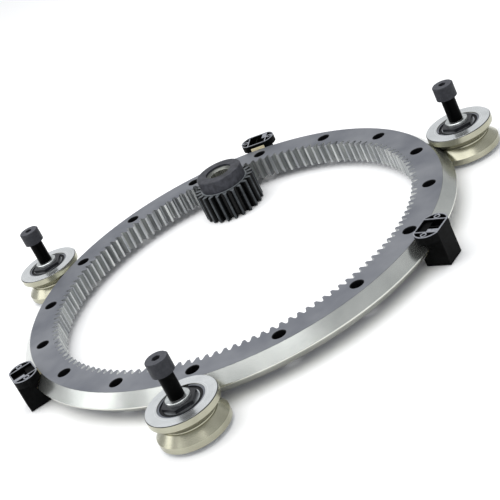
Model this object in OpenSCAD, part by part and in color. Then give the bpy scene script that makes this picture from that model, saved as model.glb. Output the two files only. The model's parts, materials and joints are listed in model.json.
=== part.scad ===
// Slewing ring bearing: a V-edged ring with internal gear teeth, carried by three V rollers,
// kept oiled by three sprung felt lubricators and driven by a pinion inside the ring.
// The origin is the centre of the ring, halfway through its thickness, and +Z is the axis of rotation.

/* [Ring] */
// Module of the gear teeth
gear_module = 4; // [3:0.5:6]
// Number of teeth inside the ring
ring_teeth = 136; // [110:2:170]
// Thickness of the ring
ring_thickness = 31; // [24:0.5:38]
// Width of the flat face between the tooth roots and the V edge
rim_width = 35; // [30:0.5:48]
// Width of the flat ground along the point of the V edge
v_flat = 2; // [1:0.1:4]
// Number of fixing holes
bolt_count = 16; // [8:1:24]
// Diameter of each fixing hole
bolt_hole_d = 18; // [9:0.5:22]
// Distance from the V edge of the face in to the circle of fixing holes
bolt_inset = 19; // [14:0.5:24]
// Chamfer on the fixing holes
bolt_chamfer = 0.8; // [0.3:0.1:2]
// Angle of the first fixing hole
bolt_angle = 0; // [-10:0.5:10]

/* [Pinion] */
// Number of teeth on the pinion
pinion_teeth = 22; // [18:1:30]
// Angle round the ring at which the pinion meshes
pinion_angle = 327.4; // [315:0.1:340]
// How far the pinion's teeth stand above the ring
pinion_above = 3.5; // [0:0.5:10]
// How far the pinion's teeth reach below the ring
pinion_below = 9; // [0:0.5:20]
// Diameter of the pinion's hub
hub_d = 73; // [56:1:76]
// Height of the hub above the teeth
hub_h = 20.5; // [8:0.5:40]
// Diameter of the pinion's bore
pinion_bore_d = 30; // [20:1:34]
// Width of the keyway
keyway_w = 8; // [5:1:10]
// Depth of the keyway beyond the bore
keyway_depth = 3.3; // [2:0.1:4]
// Diameter of the counterbore in the hub
counterbore_d = 41.6; // [38:0.2:46]
// Depth of the counterbore
counterbore_depth = 3; // [1:0.25:5]
// Depth of the cone that leads from the counterbore into the bore
lead_in_depth = 2.5; // [1:0.25:4]
// Chamfer on the lower end of the bore and on the hub
pinion_chamfer = 2; // [0.5:0.5:3]
// Play between the teeth of the pinion and the ring
backlash = 0.2; // [0.1:0.05:0.5]

/* [Rollers] */
// Angle round the ring of the right roller
right_angle = 248.5; // [243:0.5:254]
// Angle round the ring of the left roller
left_angle = 23.5; // [18:0.5:29]
// Angle round the ring of the front roller, which is the adjustable one
front_angle = 135.3; // [130:0.1:142]
// Diameter of the rollers
roller_d = 95; // [88:1:116]
// Width of the rollers
roller_w = 42; // [40:0.5:50]
// Width of the straight rim on each side of the V groove
roller_rim = 9; // [7:0.5:12]
// Width of the relief at the bottom of the V groove
relief_w = 3; // [2.5:0.5:6]
// Gap between the bottom of the relief and the V edge
relief_gap = 0.8; // [0.5:0.1:2]
// Chamfer on the outer edges of the rollers
roller_chamfer = 1; // [0.5:0.1:2]
// Running gap between the V edge and the V groove
v_gap = 0.05; // [0.03:0.01:0.2]

/* [Roller bearings] */
// Diameter of the bearing balls
ball_d = 9; // [7:0.5:9.5]
// Number of balls in each of the two rows
balls_per_row = 14; // [10:1:14]
// Distance of each row of balls from the middle of the roller
row_offset = 9; // [7:0.5:10]
// Diameter of the ball rows
ball_circle_d = 54.5; // [50:0.5:56]
// How deep the balls sit in each race
race_depth = 1.25; // [0.8:0.05:1.6]
// Radial gap between the balls and the races
ball_gap = 0.05; // [0.02:0.01:0.1]
// Gap between the balls and their cage
cage_gap = 0.15; // [0.1:0.05:0.3]
// Gap between the cage and the rings on both sides
cage_side_gap = 1.2; // [0.8:0.1:1.6]
// Height of the cage above the middle of its balls
cage_back = 6; // [5.5:0.25:6.5]
// Height of the cage below the middle of its balls
cage_front = 2.5; // [1:0.25:3]
// Distance of the end faces of the inner rings from the roller's end faces
inner_inset = 1.5; // [1:0.1:2.5]
// Diameter of the recess for the seals and snap rings
recess_d = 63; // [61.5:0.5:66]
// Depth of that recess
recess_depth = 3.6; // [3.2:0.1:4]
// Thickness of the seals at their rim
seal_t = 1.6; // [1:0.1:1.8]
// How far the lip of a seal is set back from its rim
seal_step = 0.6; // [0.3:0.1:0.8]
// Inner diameter of the seal's raised rim and of the snap ring
snap_bore_d = 57; // [55:0.5:59]
// Thickness of the snap rings
snap_t = 1; // [0.6:0.1:1.2]
// Gap between the ends of a snap ring
snap_gap = 7; // [4:0.5:12]
// Gap between a seal's lip and the inner ring
lip_gap = 0.05; // [0.02:0.01:0.1]

/* [Spindles] */
// Diameter of the spindle inside the inner rings
journal_d = 30; // [28:0.5:34]
// Clearance between parts that are pressed or pushed together
fit_gap = 0.01; // [0.01:0.01:0.05]
// Width across the flats of the hexagonal collar
hex_af = 41; // [36:1:44]
// Height of the hexagonal collar
hex_h = 4.5; // [3:0.25:6]
// Diameter of the spigot that enters the machine plate
spigot_d = 32; // [31:0.5:36]
// Height of the spigot
spigot_h = 4.5; // [3:0.25:8]
// Chamfer on the spigot and on the lower end
spindle_chamfer = 0.8; // [0.3:0.1:1]
// How far the lower end stands out of the inner ring
spindle_tail = 3; // [2.5:0.25:5]
// Thickness of the circlip that holds the inner rings on
circlip_t = 1.5; // [1.2:0.1:1.8]
// Outer diameter of the circlip
circlip_d = 37; // [35:0.5:42]
// Depth of the circlip groove
circlip_groove = 0.8; // [0.5:0.1:1.2]
// Gap between the ends of the circlip
circlip_gap = 12; // [8:0.5:16]
// How far the front roller's screw stands off the middle of its journal
throw = 1.5; // [0.5:0.25:2.5]

/* [Fixing screws] */
// Diameter of the fixing screws
screw_d = 20; // [16:1:20]
// Gap between a screw and its thread
thread_gap = 0.03; // [0.01:0.01:0.1]
// Height of the screw heads' underside above the spigot seat
plate_stack = 40.5; // [20:0.5:50]
// Diameter of the screw heads
head_d = 30; // [24:0.5:31]
// Height of the screw heads
head_h = 20; // [14:0.5:24]
// Width across the flats of the hexagonal socket
socket_af = 10; // [8:1:19]
// Depth of the socket
socket_depth = 10; // [6:0.5:12]
// Length of screw inside the spindle
screw_grip = 32; // [24:0.5:34]
// Chamfer on the screw's head and tip
screw_chamfer = 1.2; // [0.5:0.1:2]

/* [Lubricators] */
// Angle round the ring of the first lubricator
lubricator_1_angle = 79.8; // [70:0.1:90]
// Angle round the ring of the second lubricator
lubricator_2_angle = 200.9; // [192:0.1:210]
// Angle round the ring of the third lubricator
lubricator_3_angle = 316; // [306:0.5:326]
// Gap between the ring's face edge and the lubricator's front, seen from above
lub_setback = 2; // [1:0.1:4]
// Depth of the lubricator away from the ring
lub_depth = 35; // [34:0.5:44]
// Length of the straight front and back
lub_flat = 31; // [29:0.5:36]
// How far the rounded sides bulge
lub_bulge = 12; // [10:0.5:14]
// Height of the lubricator above the ring
lub_above = 9.5; // [8.5:0.5:14]
// Reach of the lubricator below the ring
lub_below = 9.5; // [6:0.5:14]
// Wall of the lubricator
lub_wall = 1.6; // [1.2:0.1:2]
// Height of the ears that hold the fixing holes
lub_ear_h = 11; // [8:0.5:14]
// Gap between the lubricator and the V edge
lub_notch_gap = 0.8; // [0.5:0.1:2]
// Distance between the two fixing holes
lub_hole_pitch = 41; // [40:0.5:44]
// Diameter of the fixing holes
lub_hole_d = 5.5; // [4.5:0.1:6]
// Depth of the pockets in the top
pocket_depth = 4; // [2.5:0.25:4.5]
// Depth of the well behind the felt's nose
well_depth = 15; // [8:0.5:16]
// Width of the rib that crosses the well
rib_w = 1.2; // [0.8:0.1:2]
// Width of the shelf along one side of the top pocket
shelf_w = 6.5; // [3:0.5:8]
// Depth of that shelf below the top
shelf_depth = 0.6; // [0.4:0.1:2]

/* [Felts] */
// Width of the felt
felt_w = 23; // [18:0.5:24]
// Height of the felt above the ring's face
felt_above = 4; // [2:0.25:4.5]
// Reach of the felt below the ring's lower face
felt_below = 4; // [2:0.25:4.5]
// Depth of the felt's nose above the ring's face
felt_nose = 8; // [5:0.5:9]
// Drop from the ring's face to the back part of the felt
felt_drop = 8; // [7:0.5:10]
// Depth of the felt from front to back
felt_depth = 25; // [23:0.5:26]
// Gap between the felt and the V edge
felt_gap = 0.3; // [0.2:0.05:0.5]
// Gap between the felt and the walls of its slot
felt_side_gap = 0.25; // [0.15:0.05:0.4]
// How far the felt can be pushed back
felt_travel = 2; // [1:0.1:2.5]
// Depth of the bowed spring behind the felt
spring_bow = 4.5; // [4:0.1:5]
// Thickness of the spring strip
spring_t = 0.5; // [0.3:0.05:0.6]
// Width of the spring strip
spring_w = 8; // [5:0.5:12]
// Gap between the ends of the spring strip and its slot, both ends together
spring_end_gap = 4; // [2:0.5:8]

/* [Hidden] */

$fn = 96;
cut = 1;
pressure_angle = 20;
ring_flank_steps = 4;
pinion_flank_steps = 8;
ball_facets = 32;
face_z = ring_thickness / 2;

// Gear circles
ring_pitch_r = gear_module * ring_teeth / 2;
ring_root_r = ring_pitch_r + 1.25 * gear_module;
ring_tip_r = ring_pitch_r - gear_module;
pinion_pitch_r = gear_module * pinion_teeth / 2;
pinion_root_r = pinion_pitch_r - 1.25 * gear_module;
pinion_tip_r = pinion_pitch_r + gear_module;
pinion_distance = ring_pitch_r - pinion_pitch_r;

// V edge of the ring: flanks at 45 degrees that would meet at v_apex_r
ring_face_r = ring_root_r + rim_width;
v_apex_r = ring_face_r + ring_thickness / 2;
ring_outer_r = v_apex_r - v_flat / 2;
bolt_circle_r = ring_face_r - bolt_inset;

// V groove of the rollers: flanks at 45 degrees that would meet at groove_apex_r
roller_half = roller_w / 2;
groove_half = roller_half - roller_rim;
groove_apex_r = roller_d / 2 - groove_half;
relief_r = groove_apex_r + v_gap + v_flat / 2 - relief_gap;
roller_distance = v_apex_r + groove_apex_r + v_gap;

// Bearing inside the rollers
ball_circle_r = ball_circle_d / 2;
outer_land_r = ball_circle_r + ball_d / 2 - race_depth;
inner_land_r = ball_circle_r - ball_d / 2 + race_depth;
inner_end = roller_half - inner_inset;

// Lubricator, measured out from the ring's axis
lub_front = ring_face_r + lub_setback;
lub_back = lub_front + lub_depth;
lub_arc_r = (lub_depth * lub_depth / 4 + lub_bulge * lub_bulge) / (2 * lub_bulge);
lub_arc_y = lub_flat / 2 + lub_bulge - lub_arc_r;
lub_top = face_z + lub_above;
lub_bottom = -face_z - lub_below;
felt_top = face_z + felt_above;
felt_step = face_z - felt_drop;
felt_bottom = -face_z - felt_below;

// ---------- helpers ----------

function involute(a) = tan(a) * 180 / PI - a;

// Half the angle that a tooth spans at radius r, widened on each flank by grow
function half_tooth(teeth, base_r, r, grow) =
  90 / teeth + involute(pressure_angle) - involute(acos(min(1, base_r / r))) + grow / r * 180 / PI;

// Outline of a spur gear whose first tooth is centred on +X
function gear_outline(teeth, r_in, r_out, grow, steps) =
  let (base_r = gear_module * teeth / 2 * cos(pressure_angle))
  [for (k = [0 : teeth - 1], side = [-1, 1], i = [0 : steps])
    let (t = side < 0 ? i / steps : 1 - i / steps)
    let (r = r_in + (r_out - r_in) * t)
    let (a = 360 / teeth * k + side * half_tooth(teeth, base_r, r, grow))
    [r * cos(a), r * sin(a)]];

module at_roller(angle) {
  rotate([0, 0, angle]) translate([roller_distance, 0, 0]) children();
}

module at_lubricator(angle) {
  rotate([0, 0, angle]) children();
}

// Keeps a piece as drawn for the upper half of a roller, or turns it over for the lower half
module half(upper) {
  if (upper) {
    children();
  } else {
    rotate([180, 0, 0]) children();
  }
}

module tube(r_out, r_in, h) {
  difference() {
    cylinder(r = r_out, h = h);
    translate([0, 0, -cut]) cylinder(r = r_in, h = h + 2 * cut);
  }
}

module ball_race(row) {
  translate([0, 0, row])
    rotate_extrude()
      translate([ball_circle_r, 0])
        circle(r = ball_d / 2 + ball_gap);
}

// A split ring with a gap of the given width on its -X side
module split_ring(r_out, r_in, h, gap) {
  difference() {
    tube(r_out, r_in, h);
    translate([-r_out - cut, -gap / 2, -cut]) cube([r_out + cut, gap, h + 2 * cut]);
  }
}

// The space that the V edge sweeps, grown on every side by gap
module v_sweep(gap) {
  grown = gap * sqrt(2);
  rotate_extrude()
    polygon([
      [ring_face_r - lub_depth, face_z + gap],
      [ring_face_r + grown - gap, face_z + gap],
      [ring_outer_r + gap, v_flat / 2 + grown - gap],
      [ring_outer_r + gap, -v_flat / 2 - grown + gap],
      [ring_face_r + grown - gap, -face_z - gap],
      [ring_face_r - lub_depth, -face_z - gap]]);
}

// ---------- ring and pinion ----------

module ring() {
  inner_r = ring_tip_r - 2 * gear_module;
  color("slategray")
    difference() {
      rotate_extrude($fn = 180)
        polygon([
          [inner_r, face_z],
          [ring_face_r, face_z],
          [ring_outer_r, v_flat / 2],
          [ring_outer_r, -v_flat / 2],
          [ring_face_r, -face_z],
          [inner_r, -face_z]]);
      rotate([0, 0, pinion_angle])
        translate([0, 0, -face_z - cut])
          linear_extrude(height = ring_thickness + 2 * cut)
            polygon(gear_outline(ring_teeth, ring_tip_r, ring_root_r, backlash / 4, ring_flank_steps));
      for (k = [0 : bolt_count - 1])
        rotate([0, 0, bolt_angle + 360 / bolt_count * k])
          translate([bolt_circle_r, 0, 0])
            bolt_hole();
    }
}

module bolt_hole() {
  wide = bolt_hole_d / 2 + bolt_chamfer + cut;
  translate([0, 0, -face_z - cut])
    cylinder(d = bolt_hole_d, h = ring_thickness + 2 * cut);
  translate([0, 0, face_z - bolt_chamfer])
    cylinder(r1 = bolt_hole_d / 2, r2 = wide, h = bolt_chamfer + cut);
  translate([0, 0, -face_z - cut])
    cylinder(r1 = wide, r2 = bolt_hole_d / 2, h = bolt_chamfer + cut);
}

module pinion() {
  bottom = -face_z - pinion_below;
  teeth_top = face_z + pinion_above;
  top = teeth_top + hub_h;
  bore_r = pinion_bore_d / 2;
  seat = top - counterbore_depth;
  color("dimgray")
    rotate([0, 0, pinion_angle])
      translate([pinion_distance, 0, 0])
        difference() {
          union() {
            translate([0, 0, bottom])
              linear_extrude(height = teeth_top - bottom)
                polygon(gear_outline(
                  pinion_teeth, pinion_root_r, pinion_tip_r, -backlash / 4, pinion_flank_steps));
            translate([0, 0, teeth_top - cut])
              cylinder(d = hub_d, h = hub_h + cut - pinion_chamfer / 2);
            translate([0, 0, top - pinion_chamfer / 2])
              cylinder(d1 = hub_d, d2 = hub_d - pinion_chamfer, h = pinion_chamfer / 2);
          }
          rotate_extrude()
            polygon([
              [0, bottom - cut],
              [bore_r + pinion_chamfer + cut, bottom - cut],
              [bore_r, bottom + pinion_chamfer],
              [bore_r, seat - lead_in_depth],
              [counterbore_d / 2, seat],
              [counterbore_d / 2, top + cut],
              [0, top + cut]]);
          translate([-bore_r - keyway_depth, -keyway_w / 2, bottom - cut])
            cube([bore_r + keyway_depth, keyway_w, top - bottom + 2 * cut]);
        }
}

// ---------- rollers ----------

module tyre(angle) {
  edge_r = roller_d / 2;
  flank_r = groove_apex_r + relief_w / 2;
  color("gainsboro")
    at_roller(angle)
      difference() {
        rotate_extrude()
          polygon([
            [outer_land_r, -roller_half],
            [edge_r - roller_chamfer, -roller_half],
            [edge_r, -roller_half + roller_chamfer],
            [edge_r, -groove_half],
            [flank_r, -relief_w / 2],
            [relief_r, -relief_w / 2],
            [relief_r, relief_w / 2],
            [flank_r, relief_w / 2],
            [edge_r, groove_half],
            [edge_r, roller_half - roller_chamfer],
            [edge_r - roller_chamfer, roller_half],
            [outer_land_r, roller_half]]);
        translate([0, 0, roller_half - recess_depth])
          cylinder(d = recess_d, h = recess_depth + cut);
        translate([0, 0, -roller_half - cut])
          cylinder(d = recess_d, h = recess_depth + cut);
        ball_race(row_offset);
        ball_race(-row_offset);
      }
}

module inner_ring(angle, upper) {
  color("silver")
    at_roller(angle)
      half(upper)
        difference() {
          tube(inner_land_r, journal_d / 2 + fit_gap, inner_end);
          ball_race(row_offset);
        }
}

module balls(angle) {
  color("white")
    at_roller(angle)
      for (row = [-row_offset, row_offset], k = [0 : balls_per_row - 1])
        rotate([0, 0, 360 / balls_per_row * k])
          translate([ball_circle_r, 0, row])
            sphere(d = ball_d, $fn = ball_facets);
}

module cage(angle, upper) {
  color("saddlebrown")
    at_roller(angle)
      half(upper)
        difference() {
          translate([0, 0, row_offset - cage_front])
            tube(outer_land_r - cage_side_gap, inner_land_r + cage_side_gap, cage_front + cage_back);
          for (k = [0 : balls_per_row - 1])
            rotate([0, 0, 360 / balls_per_row * k])
              translate([ball_circle_r, 0, row_offset])
                sphere(r = ball_d / 2 + cage_gap, $fn = ball_facets);
        }
}

module seal(angle, upper) {
  bottom = roller_half - recess_depth;
  lip_r = inner_land_r + lip_gap;
  rim_r = recess_d / 2 - fit_gap;
  color("black")
    at_roller(angle)
      half(upper)
        rotate_extrude()
          polygon([
            [lip_r, bottom],
            [rim_r, bottom],
            [rim_r, bottom + seal_t],
            [snap_bore_d / 2, bottom + seal_t],
            [snap_bore_d / 2, bottom + seal_t - seal_step],
            [lip_r, bottom + seal_t - seal_step]]);
}

module snap_ring(angle, upper) {
  color("gray")
    at_roller(angle)
      half(upper)
        translate([0, 0, roller_half - recess_depth + seal_t])
          split_ring(recess_d / 2 - fit_gap, snap_bore_d / 2, snap_t, snap_gap);
}

// The journal is centred on the roller; the collar, spigot and thread stand off it by offset
module spindle(angle, offset) {
  tail = inner_end + spindle_tail;
  spigot_r = spigot_d / 2;
  color("darkgray")
    at_roller(angle)
      difference() {
        union() {
          translate([0, 0, -tail + spindle_chamfer])
            cylinder(d = journal_d, h = tail + inner_end - spindle_chamfer);
          translate([0, 0, -tail])
            cylinder(r1 = journal_d / 2 - spindle_chamfer, r2 = journal_d / 2, h = spindle_chamfer);
          translate([0, -offset, 0]) {
            translate([0, 0, inner_end])
              cylinder(r = hex_af / 2 / cos(30), h = hex_h, $fn = 6);
            translate([0, 0, inner_end + hex_h])
              cylinder(r = spigot_r, h = spigot_h - spindle_chamfer);
            translate([0, 0, inner_end + hex_h + spigot_h - spindle_chamfer])
              cylinder(r1 = spigot_r, r2 = spigot_r - spindle_chamfer, h = spindle_chamfer);
          }
        }
        translate([0, -offset, inner_end + hex_h + spigot_h - screw_grip - cut])
          cylinder(r = screw_d / 2 + thread_gap, h = screw_grip + 2 * cut);
        translate([0, 0, -inner_end - circlip_t])
          tube(journal_d / 2 + cut, journal_d / 2 - circlip_groove, circlip_t);
      }
}

module circlip(angle) {
  color("dimgray")
    at_roller(angle)
      translate([0, 0, -inner_end - circlip_t])
        split_ring(circlip_d / 2, journal_d / 2 - circlip_groove + fit_gap, circlip_t, circlip_gap);
}

module cap_screw(angle, offset) {
  head_z = inner_end + hex_h + plate_stack;
  tip_z = inner_end + hex_h + spigot_h - screw_grip;
  head_r = head_d / 2;
  shank_r = screw_d / 2;
  color("black")
    at_roller(angle)
      translate([0, -offset, 0])
        difference() {
          union() {
            translate([0, 0, tip_z])
              cylinder(r1 = shank_r - screw_chamfer, r2 = shank_r, h = screw_chamfer);
            translate([0, 0, tip_z + screw_chamfer])
              cylinder(r = shank_r, h = head_z - tip_z - screw_chamfer + cut);
            translate([0, 0, head_z])
              cylinder(r = head_r, h = head_h - screw_chamfer);
            translate([0, 0, head_z + head_h - screw_chamfer])
              cylinder(r1 = head_r, r2 = head_r - screw_chamfer, h = screw_chamfer);
          }
          translate([0, 0, head_z + head_h - socket_depth])
            cylinder(r = socket_af / 2 / cos(30), h = socket_depth + cut, $fn = 6);
        }
}

// ---------- lubricators ----------

// The outline of the lubricator's top: straight front and back, and a rounded ear on each side
module lub_outline(inset) {
  intersection() {
    translate([lub_front + inset, -lub_flat / 2 - lub_bulge - cut])
      square([lub_depth - 2 * inset, lub_flat + 2 * lub_bulge + 2 * cut]);
    union() {
      for (side = [-1, 1])
        translate([lub_front + lub_depth / 2, side * lub_arc_y])
          circle(r = lub_arc_r - inset);
      translate([lub_front + inset, -lub_arc_y])
        square([lub_depth - 2 * inset, 2 * lub_arc_y]);
    }
  }
}

// The felt's side view: a nose above the ring's face and a deep back below it.
// front, nose_room and back_room lengthen it into the slot that the felt slides in.
module felt_profile(gap, front, nose_room, back_room) {
  polygon([
    [lub_front - front, felt_top + gap],
    [lub_front + felt_nose + nose_room, felt_top + gap],
    [lub_front + felt_nose + nose_room, felt_step + gap],
    [lub_front + felt_depth + back_room, felt_step + gap],
    [lub_front + felt_depth + back_room, felt_bottom - gap],
    [lub_front - front, felt_bottom - gap]]);
}

module felt_block(width, gap, front, nose_room, back_room) {
  translate([0, width / 2, 0])
    rotate([90, 0, 0])
      linear_extrude(height = width)
        felt_profile(gap, front, nose_room, back_room);
}

// One fixing hole and the two pockets beside it, cut into an ear
module side_pockets(side) {
  boss = lub_hole_d / 2 + lub_wall;
  hole_y = side * lub_hole_pitch / 2;
  middle = lub_front + lub_depth / 2;
  floor_z = lub_top - pocket_depth;
  wall_h = pocket_depth + 3 * cut;
  side_y = side > 0 ? lub_flat / 2 : -lub_flat / 2 - lub_bulge;
  difference() {
    translate([0, 0, floor_z])
      linear_extrude(height = pocket_depth + cut)
        intersection() {
          lub_outline(lub_wall);
          translate([lub_front, side_y])
            square([lub_depth, lub_bulge]);
        }
    translate([middle, hole_y, floor_z - cut])
      cylinder(r = boss, h = wall_h);
    translate([middle - lub_wall / 2, side_y - cut, floor_z - cut])
      cube([lub_wall, lub_bulge + 2 * cut, wall_h]);
  }
  translate([middle, hole_y, lub_top - lub_ear_h - cut])
    cylinder(d = lub_hole_d, h = lub_ear_h + 2 * cut);
}

module lubricator_body(angle, shelf_side) {
  well_w = lub_flat - 2 * lub_wall;
  well_front = lub_front + felt_nose + felt_travel + felt_side_gap + 2 * lub_wall;
  well_back = lub_back - lub_wall;
  shelf_y = shelf_side > 0 ? well_w / 2 - shelf_w : -well_w / 2;
  well_y = shelf_side > 0 ? -well_w / 2 : -well_w / 2 + shelf_w;
  color("#1b1d1f")
    at_lubricator(angle)
      difference() {
        union() {
          translate([lub_front, -lub_flat / 2, lub_bottom])
            cube([lub_depth, lub_flat, lub_top - lub_bottom]);
          translate([0, 0, lub_top - lub_ear_h])
            linear_extrude(height = lub_ear_h)
              lub_outline(0);
        }
        v_sweep(lub_notch_gap);
        felt_block(
          felt_w + 2 * felt_side_gap,
          felt_side_gap,
          cut,
          felt_travel + felt_side_gap,
          felt_travel + spring_bow);
        difference() {
          translate([lub_front + lub_wall, -well_w / 2, lub_top - pocket_depth])
            cube([lub_depth - 2 * lub_wall, well_w, pocket_depth + cut]);
          translate([lub_front + lub_depth / 2, shelf_y, lub_top - pocket_depth - cut])
            cube([lub_depth, shelf_w, pocket_depth + cut - shelf_depth]);
        }
        difference() {
          translate([well_front, well_y, lub_top - well_depth])
            cube([well_back - well_front, well_w - shelf_w, well_depth]);
          translate([well_front - cut, well_y + (well_w - shelf_w - rib_w) / 2, lub_top - well_depth - cut])
            cube([well_back - well_front + 2 * cut, rib_w, well_depth + cut - pocket_depth]);
        }
        side_pockets(1);
        side_pockets(-1);
      }
}

module felt(angle) {
  color("khaki")
    at_lubricator(angle)
      difference() {
        felt_block(felt_w, 0, 0, 0, 0);
        v_sweep(felt_gap);
      }
}

// A strip bowed between the felt and the back of its slot
module felt_spring(angle) {
  middle_z = (felt_step + felt_bottom) / 2;
  span = felt_step - felt_bottom - spring_end_gap;
  bow = spring_bow + felt_travel - spring_t;
  bow_r = (span * span / 4 + bow * bow) / (2 * bow);
  color("lightsteelblue")
    at_lubricator(angle)
      translate([lub_front + felt_depth, spring_w / 2, middle_z])
        rotate([90, 0, 0])
          intersection() {
            linear_extrude(height = spring_w)
              translate([0, -span / 2])
                square([bow + spring_t, span]);
            translate([bow + spring_t - bow_r - spring_t / 2, 0, 0])
              tube(bow_r + spring_t / 2, bow_r - spring_t / 2, spring_w);
          }
}

// ---------- what is drawn ----------

ring();
pinion();
tyre(right_angle);  // tyre_right
tyre(left_angle);  // tyre_left
tyre(front_angle);  // tyre_front
inner_ring(right_angle, true);  // inner_ring_upper_right
inner_ring(left_angle, true);  // inner_ring_upper_left
inner_ring(front_angle, true);  // inner_ring_upper_front
inner_ring(right_angle, false);  // inner_ring_lower_right
inner_ring(left_angle, false);  // inner_ring_lower_left
inner_ring(front_angle, false);  // inner_ring_lower_front
balls(right_angle);  // balls_right
balls(left_angle);  // balls_left
balls(front_angle);  // balls_front
cage(right_angle, true);  // cage_upper_right
cage(left_angle, true);  // cage_upper_left
cage(front_angle, true);  // cage_upper_front
cage(right_angle, false);  // cage_lower_right
cage(left_angle, false);  // cage_lower_left
cage(front_angle, false);  // cage_lower_front
seal(right_angle, true);  // seal_upper_right
seal(left_angle, true);  // seal_upper_left
seal(front_angle, true);  // seal_upper_front
seal(right_angle, false);  // seal_lower_right
seal(left_angle, false);  // seal_lower_left
seal(front_angle, false);  // seal_lower_front
snap_ring(right_angle, true);  // snap_ring_upper_right
snap_ring(left_angle, true);  // snap_ring_upper_left
snap_ring(front_angle, true);  // snap_ring_upper_front
snap_ring(right_angle, false);  // snap_ring_lower_right
snap_ring(left_angle, false);  // snap_ring_lower_left
snap_ring(front_angle, false);  // snap_ring_lower_front
spindle(right_angle, 0);  // spindle_right
spindle(left_angle, 0);  // spindle_left
spindle(front_angle, throw);  // spindle_front
circlip(right_angle);  // circlip_right
circlip(left_angle);  // circlip_left
circlip(front_angle);  // circlip_front
cap_screw(right_angle, 0);  // cap_screw_right
cap_screw(left_angle, 0);  // cap_screw_left
cap_screw(front_angle, throw);  // cap_screw_front
lubricator_body(lubricator_1_angle, 1);  // lubricator_body_1
lubricator_body(lubricator_2_angle, -1);  // lubricator_body_2
lubricator_body(lubricator_3_angle, -1);  // lubricator_body_3
felt(lubricator_1_angle);  // felt_1
felt(lubricator_2_angle);  // felt_2
felt(lubricator_3_angle);  // felt_3
felt_spring(lubricator_1_angle);  // felt_spring_1
felt_spring(lubricator_2_angle);  // felt_spring_2
felt_spring(lubricator_3_angle);  // felt_spring_3
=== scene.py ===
"""Slewing ring on V rollers: finishes, felts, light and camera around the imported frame. Metres throughout."""
import json
import math

import bmesh
import bpy
import numpy as np
from mathutils import Matrix, Vector


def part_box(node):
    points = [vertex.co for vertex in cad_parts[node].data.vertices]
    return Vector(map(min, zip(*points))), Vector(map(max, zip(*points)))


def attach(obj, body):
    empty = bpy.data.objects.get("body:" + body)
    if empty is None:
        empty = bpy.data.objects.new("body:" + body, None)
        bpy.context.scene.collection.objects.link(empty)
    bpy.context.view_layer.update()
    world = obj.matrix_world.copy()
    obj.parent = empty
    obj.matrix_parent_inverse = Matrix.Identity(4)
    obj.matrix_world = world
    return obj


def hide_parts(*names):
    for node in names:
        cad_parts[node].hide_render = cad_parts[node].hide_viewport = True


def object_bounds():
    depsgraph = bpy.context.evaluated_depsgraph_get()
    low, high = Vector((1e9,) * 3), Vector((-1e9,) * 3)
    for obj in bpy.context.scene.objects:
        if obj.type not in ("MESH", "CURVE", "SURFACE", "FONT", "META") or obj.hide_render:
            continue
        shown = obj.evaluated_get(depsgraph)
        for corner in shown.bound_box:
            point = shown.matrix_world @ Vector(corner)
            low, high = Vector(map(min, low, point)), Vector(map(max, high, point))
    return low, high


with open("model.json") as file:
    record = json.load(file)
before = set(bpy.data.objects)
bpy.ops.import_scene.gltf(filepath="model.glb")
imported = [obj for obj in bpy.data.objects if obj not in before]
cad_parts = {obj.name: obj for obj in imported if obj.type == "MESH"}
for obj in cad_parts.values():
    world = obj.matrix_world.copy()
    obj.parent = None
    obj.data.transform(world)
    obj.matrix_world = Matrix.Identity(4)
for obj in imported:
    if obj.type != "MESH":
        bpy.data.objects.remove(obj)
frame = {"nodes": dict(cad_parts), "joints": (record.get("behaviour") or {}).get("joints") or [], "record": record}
cad_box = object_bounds()
MM = 0.001


# ---------- what is read from the frame, and given sizes ---

RING_LOW, RING_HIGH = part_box("ring")
RING_OUTER_R = max(RING_HIGH.x, -RING_LOW.x, RING_HIGH.y, -RING_LOW.y)
RING_HALF = (RING_HIGH.z - RING_LOW.z) / 2
V_FLAT = 2 * MM
RING_FACE_R = RING_OUTER_R + V_FLAT / 2 - RING_HALF
RIM_WIDTH = 35 * MM
TOOTH_ROOT_R = RING_FACE_R - RIM_WIDTH
JOINT_PLACE = {j["name"]: Vector(j["pos_m"]) for j in frame["joints"] if "pos_m" in j}
MOUNTS = {m["name"]: m for m in frame["record"]["mounts"]}
SIDES = ("left", "front", "right")
LUBRICATORS = (1, 2, 3)
BORE_SEAT_R = 20.8 * MM
BORE_SEAT_DEPTH = 3 * MM
HUB_R = 36.5 * MM
TEETH_TOP = RING_HALF + 3.5 * MM
TOP_SHELF = 0.6 * MM
SHANK_LENGTH = 40.5 * MM
HEAD_HEIGHT = 20 * MM
SPIGOT_HEIGHT = 4.5 * MM


# ---------- nodes and colours ----------

def linear(hex_colour):
    """An sRGB hex colour as linear RGBA: each channel c is c / 12.92 below 0.04045, else
    ((c + 0.055) / 1.055) to the power 2.4."""
    channels = [int(hex_colour[i:i + 2], 16) / 255 for i in (1, 3, 5)]
    return [c / 12.92 if c <= 0.04045 else ((c + 0.055) / 1.055) ** 2.4 for c in channels] + [1.0]


def add(tree, kind, inputs=None, **settings):
    """Adds a shader node, sets its properties, and fills each named input with a value or a link."""
    made = tree.nodes.new("ShaderNode" + kind)
    for name, value in settings.items():
        setattr(made, name, value)
    for name, value in (inputs or {}).items():
        if isinstance(value, bpy.types.NodeSocket):
            tree.links.new(value, made.inputs[name])
        else:
            made.inputs[name].default_value = value
    return made


def new_material(name):
    """An empty material with its shader and the object's own coordinates."""
    made = bpy.data.materials.new(name)
    made.use_nodes = True
    tree = made.node_tree
    tree.nodes.clear()
    shader = add(tree, "BsdfPrincipled")
    out = add(tree, "OutputMaterial")
    tree.links.new(shader.outputs[0], out.inputs["Surface"])
    place = add(tree, "TexCoord").outputs["Object"]
    return made, tree, shader, place


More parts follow.
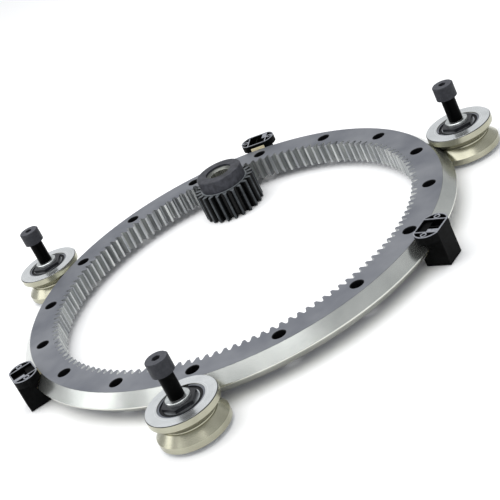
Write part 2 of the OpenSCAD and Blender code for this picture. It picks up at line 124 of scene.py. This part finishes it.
def ramp(tree, value, stops):
    """A colour ramp through (position, hex colour) stops."""
    made = add(tree, "ValToRGB", {0: value})
    points = made.color_ramp.elements
    while len(points) < len(stops):
        points.new(0.5)
    for point, (position, colour) in zip(points, stops):
        point.position = position
        point.color = linear(colour)
    return made.outputs[0]


def between(tree, value, low, high, to_low=0.0, to_high=1.0):
    """Carries a value from low..high to to_low..to_high, held at both ends."""
    return add(tree, "MapRange", {0: value, 1: low, 2: high, 3: to_low, 4: to_high}, clamp=True).outputs[0]


def mixed(tree, share, first, second):
    """Colour first where share is 0 and second where it is 1."""
    made = add(tree, "Mix", data_type="RGBA")
    for socket, value in ((made.inputs[0], share), (made.inputs[6], first), (made.inputs[7], second)):
        if isinstance(value, bpy.types.NodeSocket):
            tree.links.new(value, socket)
        else:
            socket.default_value = value
    return made.outputs[2]


def noise(tree, place, size, detail=3.0, stretch=(1, 1, 1)):
    """Noise whose features measure about size metres, drawn out along the axes that stretch makes small."""
    mapped = add(tree, "Mapping", {"Vector": place, "Scale": stretch}).outputs[0]
    return add(tree, "TexNoise", {"Vector": mapped, "Scale": 1 / size, "Detail": detail}).outputs[0]


def bumped(tree, shader, height, distance, strength=1.0):
    """Gives the shader a bump of that height field, distance metres deep."""
    made = add(tree, "Bump", {"Height": height, "Distance": distance, "Strength": strength})
    tree.links.new(made.outputs[0], shader.inputs["Normal"])


def radius_from(tree, place, centre=(0, 0, 0)):
    """Distance from an upright axis through centre."""
    moved = add(tree, "VectorMath", {0: place, 1: centre}, operation="SUBTRACT").outputs[0]
    flat = add(tree, "VectorMath", {0: moved, 1: (1, 1, 0)}, operation="MULTIPLY").outputs[0]
    return add(tree, "VectorMath", {0: flat}, operation="LENGTH").outputs["Value"]


def turned_lines(tree, radius, place, pitch):
    """Fine circles left by turning or grinding, pitch metres apart, broken up by noise."""
    height = add(tree, "SeparateXYZ", {0: place}).outputs["Z"]
    along = add(tree, "Math", {0: radius, 1: height}, operation="ADD").outputs[0]
    joined = add(tree, "CombineXYZ", {0: along}).outputs[0]
    return add(tree, "TexNoise", {"Vector": joined, "Scale": 1 / pitch, "Detail": 4.0}).outputs[0]


# ---------- finishes ----------

def band(tree, value, low, high, edge):
    """1 where value lies between low and high, falling to 0 over edge on both sides."""
    rising = between(tree, value, low - edge, low)
    falling = between(tree, value, high, high + edge, 1.0, 0.0)
    return add(tree, "Math", {0: rising, 1: falling}, operation="MULTIPLY").outputs[0]


def ring_steel():
    """Induction hardened ring: the face is dull after surface grinding, while the V edge is ground bright for the
    rollers, its lower flank painted lighter as painted light and its upper flank painted darker as painted shade.
    The tooth flanks keep the satin of the gear cutter, and the walls of the drilled holes are painted near black
    as shade."""
    made, tree, shader, place = new_material("ground_ring_steel")
    radius = radius_from(tree, place)
    height = add(tree, "SeparateXYZ", {0: place}).outputs["Z"]
    soft = noise(tree, place, 70 * MM, 3.0)
    lines = turned_lines(tree, radius, place, 1.2 * MM)
    face = ramp(tree, soft, [(0.3, "#64676F"), (0.7, "#84868B")])
    # painted light and shade: the upper flank of the V edge is coloured darker and the lower flank lighter
    upper_flank_painted_shade = ramp(tree, soft, [(0.3, "#A9ACA9"), (0.7, "#C6C8C4")])
    lower_flank_painted_light = ramp(tree, soft, [(0.3, "#DADAD0"), (0.7, "#ECECE2")])
    tooth = ramp(tree, noise(tree, place, 9 * MM, 3.0, (1, 1, 0.1)), [(0.3, "#8A8D91"), (0.7, "#CDCFCD")])
    # splits the V edge into its painted-shade upper flank and its painted-light lower flank
    upper = between(tree, height, -0.2 * MM, 0.2 * MM)
    flank = mixed(tree, upper, lower_flank_painted_light, upper_flank_painted_shade)
    on_edge = between(tree, radius, RING_FACE_R + 0.1 * MM, RING_FACE_R + 0.4 * MM)
    in_teeth = between(tree, radius, TOOTH_ROOT_R - 0.1 * MM, TOOTH_ROOT_R + 0.3 * MM, 1.0, 0.0)
    on_wall = band(tree, height, 0.2 * MM - RING_HALF, RING_HALF - 0.2 * MM, 0.1 * MM)
    tooth_wall = add(tree, "Math", {0: in_teeth, 1: on_wall}, operation="MULTIPLY").outputs[0]
    # painted shade: the walls of the drilled holes are coloured near black
    hole_walls_painted_shade = mixed(tree, on_wall, face, linear("#17181B"))
    colour = mixed(tree, tooth_wall, mixed(tree, on_edge, hole_walls_painted_shade, flank), tooth)
    tree.links.new(colour, shader.inputs["Base Color"])
    worked = add(tree, "Math", {0: tooth_wall, 1: on_edge}, operation="MAXIMUM").outputs[0]
    tree.links.new(between(tree, worked, 0.0, 1.0, 0.55, 0.92), shader.inputs["Metallic"])
    dull = between(tree, lines, 0.3, 0.7, 0.44, 0.54)
    bright = between(tree, lines, 0.3, 0.7, 0.17, 0.25)
    rough = add(tree, "Mix", {0: on_edge, 2: dull, 3: bright}, data_type="FLOAT").outputs[0]
    tree.links.new(rough, shader.inputs["Roughness"])
    bumped(tree, shader, lines, 0.02 * MM, 0.5)
    return made


def ground_steel(name, centre, light, dark, rough=(0.24, 0.34), pitch=0.8 * MM):
    """Ground bearing steel: close turning circles round the part's own axis and a soft clouding."""
    made, tree, shader, place = new_material(name)
    lines = turned_lines(tree, radius_from(tree, place, centre), place, pitch)
    clouds = noise(tree, place, 25 * MM, 2.0)
    both = add(tree, "Math", {0: lines, 1: clouds}, operation="ADD").outputs[0]
    colour = ramp(tree, between(tree, both, 0.6, 1.4), [(0.0, dark), (1.0, light)])
    tree.links.new(colour, shader.inputs["Base Color"])
    tree.links.new(between(tree, lines, 0.3, 0.7, *rough), shader.inputs["Roughness"])
    shader.inputs["Metallic"].default_value = 0.9
    bumped(tree, shader, lines, 0.015 * MM, 0.5)
    return made


def tyre_steel(side):
    """Through-hardened roller. The flat faces are ground to a neutral silver and painted lighter than the rims and
    the V groove, as painted light; the rims and the groove keep a faintly straw-coloured temper tint and are
    painted darker as shade. The edges are broken with a chamfer coloured as a dark line."""
    made, tree, shader, place = new_material("hardened_tyre_steel_" + side)
    low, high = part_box("tyre_" + side)
    middle = (low + high) / 2
    edge = (high.x - low.x) / 2
    half = (high.z - low.z) / 2
    radius = radius_from(tree, place, tuple(middle))
    height = add(tree, "SeparateXYZ", {0: place}).outputs["Z"]
    up = add(tree, "Math", {0: height}, operation="ABSOLUTE").outputs[0]
    lines = turned_lines(tree, radius, place, 0.8 * MM)
    clouds = noise(tree, place, 25 * MM, 2.0)
    both = between(tree, add(tree, "Math", {0: lines, 1: clouds}, operation="ADD").outputs[0], 0.6, 1.4)
    # painted light: the flat faces are coloured lighter than the rims and the V groove
    face = ramp(tree, both, [(0.0, "#D6D9DA"), (1.0, "#F1F3F4")])
    # painted shade on the rims and the V groove, over their straw-coloured temper tint
    rim_temper_tint_and_shade = ramp(tree, both, [(0.0, "#969482"), (1.0, "#BBB9A6")])
    # the chamfer of each outer edge is coloured as a dark line
    chamfer = add(tree, "Math", {
        0: band(tree, up, half - 0.9 * MM, half - 0.05 * MM, 0.05 * MM),
        1: between(tree, radius, edge - 0.95 * MM, edge - 0.85 * MM),
    }, operation="MULTIPLY").outputs[0]
    on_face = between(tree, up, half - 0.1 * MM, half - 0.05 * MM)
    colour = mixed(tree, chamfer, mixed(tree, on_face, rim_temper_tint_and_shade, face), linear("#3B3C40"))
    tree.links.new(colour, shader.inputs["Base Color"])
    tree.links.new(between(tree, lines, 0.3, 0.7, 0.2, 0.3), shader.inputs["Roughness"])
    shader.inputs["Metallic"].default_value = 0.9
    bumped(tree, shader, lines, 0.015 * MM, 0.5)
    return made


def black_oxide(name, shank_top):
    """Chemically blackened steel: a thin matt skin, slightly mottled. The shank below shank_top is painted near
    black as shade, and on the head the top is painted lighter than the side, as painted light from above."""
    made, tree, shader, place = new_material(name)
    height = add(tree, "SeparateXYZ", {0: place}).outputs["Z"]
    mottle = noise(tree, place, 4 * MM, 4.0)
    # painted shade: the side of the head is coloured darker than its top
    head_side_shaded = ramp(tree, mottle, [(0.2, "#2D2E32"), (0.8, "#3D3E43")])
    # painted light: the top of the head is coloured lighter
    top_face_painted_light = ramp(tree, mottle, [(0.2, "#3F4045"), (0.8, "#515258")])
    head_top = shank_top + HEAD_HEIGHT
    head = mixed(tree, between(tree, height, head_top - 0.2 * MM, head_top - 0.1 * MM), head_side_shaded, top_face_painted_light)
    # painted shade: the shank is coloured near black
    shank_painted_shade = ramp(tree, mottle, [(0.3, "#010101"), (0.75, "#030404")])
    on_head = between(tree, height, shank_top - 0.2 * MM, shank_top + 0.2 * MM)
    tree.links.new(mixed(tree, on_head, shank_painted_shade, head), shader.inputs["Base Color"])
    tree.links.new(between(tree, on_head, 0.0, 1.0, 0.34, 0.5), shader.inputs["Roughness"])
    tree.links.new(between(tree, on_head, 0.0, 1.0, 0.03, 0.12), shader.inputs["Specular IOR Level"])
    bumped(tree, shader, noise(tree, place, 0.6 * MM, 2.0), 0.02 * MM, 0.4)
    return made


def spindle_steel(side):
    """Blackened spindle whose spigot is ground bright after blackening, to fit its seat."""
    made, tree, shader, place = new_material("spindle_steel_" + side)
    spigot = MOUNTS[side + "_spigot"]
    half = spigot["dims"]["length_mm"] * MM / 2
    start = spigot["pos_m"][2] - half
    height = add(tree, "SeparateXYZ", {0: place}).outputs["Z"]
    ground = between(tree, height, start + 0.05 * MM, start + 0.15 * MM)
    mottle = noise(tree, place, 4 * MM, 4.0)
    black = ramp(tree, mottle, [(0.3, "#121316"), (0.75, "#2A2B30")])
    steel = ramp(tree, noise(tree, place, 6 * MM, 2.0), [(0.3, "#B9BDBC"), (0.7, "#DDE0DF")])
    tree.links.new(mixed(tree, ground, black, steel), shader.inputs["Base Color"])
    tree.links.new(between(tree, ground, 0.0, 1.0, 0.36, 0.28), shader.inputs["Roughness"])
    tree.links.new(between(tree, ground, 0.0, 1.0, 0.1, 0.92), shader.inputs["Metallic"])
    shader.inputs["Specular IOR Level"].default_value = 0.35
    bumped(tree, shader, mottle, 0.02 * MM, 0.4)
    return made


def pinion_steel():
    """Blackened pinion. The bore is machined bright after blackening and its lead-in is a duller grey. The teeth
    are painted near black below their grey tips as shade in the gaps, and their top faces are painted lighter as
    light from above; a bare line is left where the tool turned the foot of the hub."""
    made, tree, shader, place = new_material("blackened_pinion_steel")
    bore = MOUNTS["pinion_bore"]
    low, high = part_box("pinion")
    tip = (high.x - low.x) / 2
    radius = radius_from(tree, place, tuple(bore["pos_m"]))
    height = add(tree, "SeparateXYZ", {0: place}).outputs["Z"]
    in_bore = add(tree, "Math", {
        0: between(tree, radius, BORE_SEAT_R - 0.3 * MM, BORE_SEAT_R - 0.1 * MM, 1.0, 0.0),
        1: between(tree, height, high.z - BORE_SEAT_DEPTH - 0.1 * MM, high.z - BORE_SEAT_DEPTH, 1.0, 0.0),
    }, operation="MULTIPLY").outputs[0]
    on_tip = between(tree, radius, tip - 1.2 * MM, tip - 0.5 * MM)
    in_gap = between(tree, radius, HUB_R + 0.5 * MM, HUB_R + 0.9 * MM)
    foot = add(tree, "Math", {
        0: band(tree, height, TEETH_TOP, TEETH_TOP + 0.5 * MM, 0.05 * MM),
        1: band(tree, radius, HUB_R - 0.3 * MM, HUB_R + 0.9 * MM, 0.05 * MM),
    }, operation="MULTIPLY").outputs[0]
    mottle = noise(tree, place, 7 * MM, 4.0)
    hub = ramp(tree, mottle, [(0.3, "#28292E"), (0.75, "#44454C")])
    # painted shade: the teeth below their tips are coloured near black
    tooth_gap_painted_shade = ramp(tree, mottle, [(0.3, "#020303"), (0.75, "#080A0B")])
    tooth_tip_grey = ramp(tree, mottle, [(0.3, "#2B2F32"), (0.75, "#4A4E51")])
    upright = noise(tree, place, 1.6 * MM, 2.0, (1, 1, 0.02))
    reamed = ramp(tree, upright, [(0.35, "#83857C"), (0.65, "#ECEDE6")])
    bore_r = bore["dims"]["r_mm"] * MM
    on_wall = between(tree, radius, bore_r + 0.1 * MM, bore_r + 0.3 * MM, 1.0, 0.0)
    steel = mixed(tree, on_wall, linear("#6B6D69"), reamed)
    on_end = between(tree, height, TEETH_TOP - 0.3 * MM, TEETH_TOP - 0.1 * MM)
    # painted light: the top faces of the teeth are coloured lighter than their sides
    top_face_painted_light = ramp(tree, mottle, [(0.3, "#45494C"), (0.75, "#6A6E71")])
    teeth = mixed(tree, on_end, mixed(tree, on_tip, tooth_gap_painted_shade, tooth_tip_grey), top_face_painted_light)
    skin = mixed(tree, foot, mixed(tree, in_gap, hub, teeth), linear("#878C8F"))
    tree.links.new(mixed(tree, in_bore, skin, steel), shader.inputs["Base Color"])
    tree.links.new(between(tree, in_bore, 0.0, 1.0, 0.46, 0.30), shader.inputs["Roughness"])
    tree.links.new(between(tree, in_bore, 0.0, 1.0, 0.15, 0.9), shader.inputs["Metallic"])
    shader.inputs["Specular IOR Level"].default_value = 0.25
    bumped(tree, shader, noise(tree, place, 0.8 * MM, 2.0), 0.02 * MM, 0.4)
    return made


def moulded_plastic(name, light, dark, rough=0.48, shine=0.3):
    """Injection moulded plastic: even colour, a fine spark-eroded grain and a broad soft shine."""
    made, tree, shader, place = new_material(name)
    clouds = noise(tree, place, 12 * MM, 2.0)
    grain = noise(tree, place, 0.7 * MM, 2.0)
    tree.links.new(ramp(tree, clouds, [(0.3, dark), (0.7, light)]), shader.inputs["Base Color"])
    tree.links.new(between(tree, grain, 0.3, 0.7, rough - 0.05, rough + 0.08), shader.inputs["Roughness"])
    shader.inputs["Specular IOR Level"].default_value = shine
    bumped(tree, shader, grain, 0.03 * MM, 0.5)
    return made


def lubricator_plastic():
    """Black glass-filled plastic with a matt, mottled skin. The faces on top are painted pale grey as a painted
    sheen of the light above; everything lower, the pocket floors too, stays near black, which also stands in for
    the shade in the pockets."""
    made, tree, shader, place = new_material("black_glass_filled_plastic")
    height = add(tree, "SeparateXYZ", {0: place}).outputs["Z"]
    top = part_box("lubricator_body_1")[1].z
    on_top = between(tree, height, top - TOP_SHELF - 0.2 * MM, top - TOP_SHELF - 0.1 * MM)
    mottle = noise(tree, place, 5 * MM, 5.0)
    grain = noise(tree, place, 0.8 * MM, 3.0)
    skin = ramp(tree, mottle, [(0.35, "#010101"), (0.7, "#0A0B0C")])
    # painted sheen: the faces on top are coloured pale grey, lighter than the black below
    top_painted_sheen = ramp(tree, noise(tree, place, 3 * MM, 3.0), [(0.3, "#77797F"), (0.7, "#96989E")])
    tree.links.new(mixed(tree, on_top, skin, top_painted_sheen), shader.inputs["Base Color"])
    tree.links.new(between(tree, grain, 0.3, 0.7, 0.48, 0.66), shader.inputs["Roughness"])
    shader.inputs["Specular IOR Level"].default_value = 0.06
    bumped(tree, shader, grain, 0.05 * MM, 0.6)
    return made


def wool_felt():
    """Pressed wool felt: cream fibres in slanting bands, darker where oil has soaked in. The fibres are drawn
    coarser than real ones so that they show."""
    made, tree, shader, place = new_material("pressed_wool_felt")
    fibres = noise(tree, place, 0.9 * MM, 5.0, (1, 1, 0.5))
    bands = add(
        tree, "TexWave", {"Vector": place, "Scale": 1 / (2 * math.pi * 0.6 * MM), "Distortion": 1.5},
        wave_type="BANDS", bands_direction="DIAGONAL").outputs[0]
    share = add(tree, "Math", {0: bands, 1: 0.45}, operation="MULTIPLY").outputs[0]
    cream = ramp(tree, fibres, [(0.3, "#F0E2B4"), (0.7, "#FFF8DC")])
    tree.links.new(mixed(tree, share, cream, linear("#BFA56A")), shader.inputs["Base Color"])
    shader.inputs["Roughness"].default_value = 0.95
    shader.inputs["Sheen Weight"].default_value = 0.35
    bumped(tree, shader, fibres, 0.25 * MM, 0.8)
    return made


def paint(node_name, material):
    """Gives a CAD node one material."""
    slots = frame["nodes"][node_name].data.materials
    slots.clear()
    slots.append(material)


ring_finish = ring_steel()
pinion_finish = pinion_steel()
SHANK_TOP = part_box("spindle_left")[1].z - SPIGOT_HEIGHT + SHANK_LENGTH
screw_finish = black_oxide("black_oxide_steel", SHANK_TOP)
seal_finish = moulded_plastic("nitrile_rubber", "#16171A", "#0C0D0F", 0.60, 0.2)
cage_finish = moulded_plastic("moulded_nylon", "#D8CFB4", "#C6BC9F", 0.42)
body_finish = lubricator_plastic()
spring_finish = ground_steel("spring_steel", (0, 0, 0), "#9A9DA2", "#74777D")
ball_finish = ground_steel("polished_ball_steel", (0, 0, 0), "#D4D6D8", "#BDBFC2", (0.08, 0.12))
felt_finish = wool_felt()

paint("ring", ring_finish)
paint("pinion", pinion_finish)
for side in SIDES:
    axis = tuple(JOINT_PLACE["roller_%s_spin" % side])
    paint("tyre_" + side, tyre_steel(side))
    inner_finish = ground_steel("ground_inner_ring_steel_" + side, axis, "#CFD2D4", "#A6A9AD")
    snap_finish = ground_steel("snap_ring_steel_" + side, axis, "#8C8F96", "#666971")
    paint("spindle_" + side, spindle_steel(side))
    paint("cap_screw_" + side, screw_finish)
    paint("circlip_" + side, spring_finish)
    paint("balls_" + side, ball_finish)
    for level in ("upper", "lower"):
        paint("inner_ring_%s_%s" % (level, side), inner_finish)
        paint("snap_ring_%s_%s" % (level, side), snap_finish)
        paint("seal_%s_%s" % (level, side), seal_finish)
        paint("cage_%s_%s" % (level, side), cage_finish)
for n in LUBRICATORS:
    paint("lubricator_body_%d" % n, body_finish)
    paint("felt_spring_%d" % n, spring_finish)


# ---------- felts ----------

FELT_GRID = 0.7 * MM
FELT_ROUNDING = 2
FELT_NAP = 0.06 * MM
NAP_WAVES = np.array([[2100, 900, 1700], [1300, 2300, -800], [-1100, 1500, 2600]])


def soft_felt(n):
    """The felt block with its edges worn round and a raised nap. The block is divided into cells of
    FELT_GRID, its edges are relaxed FELT_ROUNDING times, and each point then moves in along its normal by
    FELT_NAP times half of one plus the mean of three sines of its place. The relaxing rounds outer edges off
    but also fills the inner corner behind the nose a little, so the pad stands outside the block there."""
    block = frame["nodes"]["felt_%d" % n]
    mesh = block.data.copy()
    piece = bpy.data.objects.new("felt_pad_%d" % n, mesh)
    bpy.context.scene.collection.objects.link(piece)
    shape = bmesh.new()
    shape.from_mesh(mesh)
    bmesh.ops.remove_doubles(shape, verts=shape.verts, dist=0.002 * MM)
    bmesh.ops.recalc_face_normals(shape, faces=shape.faces)
    shape.to_mesh(mesh)
    shape.free()
    remesh = piece.modifiers.new("cells", "REMESH")
    remesh.mode = "VOXEL"
    remesh.voxel_size = FELT_GRID
    smooth = piece.modifiers.new("worn_edges", "SMOOTH")
    smooth.iterations = FELT_ROUNDING
    bpy.context.view_layer.update()
    finished = bpy.data.meshes.new_from_object(piece.evaluated_get(bpy.context.evaluated_depsgraph_get()))
    piece.modifiers.clear()
    piece.data = finished
    count = len(finished.vertices)
    points = np.empty(count * 3, np.float32)
    normals = np.empty(count * 3, np.float32)
    finished.vertices.foreach_get("co", points)
    finished.vertex_normals.foreach_get("vector", normals)
    points = points.reshape(-1, 3)
    waves = np.sin(points @ NAP_WAVES.T).mean(axis=1)
    points -= normals.reshape(-1, 3) * (FELT_NAP * (1 + waves) / 2)[:, None]
    finished.vertices.foreach_set("co", points.astype(np.float32).ravel())
    finished.polygons.foreach_set("use_smooth", [True] * len(finished.polygons))
    finished.materials.clear()
    finished.materials.append(felt_finish)
    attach(piece, "felt_%d" % n)
    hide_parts("felt_%d" % n)


for n in LUBRICATORS:
    soft_felt(n)


# ---------- floor, light and camera ----------

FLOOR_SIZE = 40.0
FLOOR_DROP = 1 * MM


def pale_floor():
    """A flat white sheet just below the lowest piece."""
    half = FLOOR_SIZE / 2
    z = cad_box[0].z - FLOOR_DROP
    mesh = bpy.data.meshes.new("floor")
    corners = [(-half, -half, z), (half, -half, z), (half, half, z), (-half, half, z)]
    mesh.from_pydata(corners, [], [(0, 1, 2, 3)])
    floor = bpy.data.objects.new("floor", mesh)
    bpy.context.scene.collection.objects.link(floor)
    made, tree, shader, place = new_material("white_studio_floor")
    shader.inputs["Base Color"].default_value = linear("#FDFDFD")
    shader.inputs["Roughness"].default_value = 0.9
    mesh.materials.append(made)


def softbox(name, place, aim, size, power):
    """A square area light at place that faces aim."""
    light = bpy.data.lights.new(name, "AREA")
    light.shape = "SQUARE"
    light.size = size
    light.energy = power
    lamp = bpy.data.objects.new(name, light)
    lamp.location = place
    lamp.rotation_mode = "QUATERNION"
    lamp.rotation_quaternion = (Vector(aim) - Vector(place)).to_track_quat("-Z", "Y")
    bpy.context.scene.collection.objects.link(lamp)


def studio():
    """Even pale surroundings with one large key light above and a weaker one behind."""
    world = bpy.data.worlds.new("studio")
    bpy.context.scene.world = world
    world.use_nodes = True
    sky = world.node_tree.nodes["Background"]
    sky.inputs["Color"].default_value = linear("#F4F6F8")
    sky.inputs["Strength"].default_value = 0.74
    softbox("overhead_light", (0.3, 0.3, 2.4), (0, 0, 0), 3.2, 60)
    softbox("side_light", (1.5, 1.9, 1.5), (0, 0, 0), 1.2, 9)


VIEW_TURN = math.radians(-24.156)
VIEW_DOWN = math.radians(24.388)
VIEW_ROLL = math.radians(26.711)
VIEW_DISTANCE = 1.83782
VIEW_AIM = (-0.04373, -0.00544)
LENS_MM = 96.796
SENSOR_MM = 36.0


def set_camera():
    """A camera turned VIEW_TURN from +X, looking down by VIEW_DOWN at a point on the ring's upper face, and
    rolled by VIEW_ROLL about its own axis."""
    level = Vector((math.cos(VIEW_TURN), math.sin(VIEW_TURN), 0))
    forward = level * math.cos(VIEW_DOWN) - Vector((0, 0, math.sin(VIEW_DOWN)))
    across = forward.cross(Vector((0, 0, 1))).normalized()
    above = across.cross(forward)
    up = above * math.cos(VIEW_ROLL) + across * math.sin(VIEW_ROLL)
    right = forward.cross(up)
    data = bpy.data.cameras.new("camera")
    data.sensor_width = SENSOR_MM
    data.lens = LENS_MM
    camera = bpy.data.objects.new("camera", data)
    bpy.context.scene.collection.objects.link(camera)
    aim = Vector((VIEW_AIM[0], VIEW_AIM[1], RING_HIGH.z))
    turned = Matrix((right, up, -forward)).transposed().to_4x4()
    camera.matrix_world = Matrix.Translation(aim - forward * VIEW_DISTANCE) @ turned
    bpy.context.scene.camera = camera


pale_floor()
studio()
set_camera()
bpy.context.scene.view_settings.view_transform = "Standard"
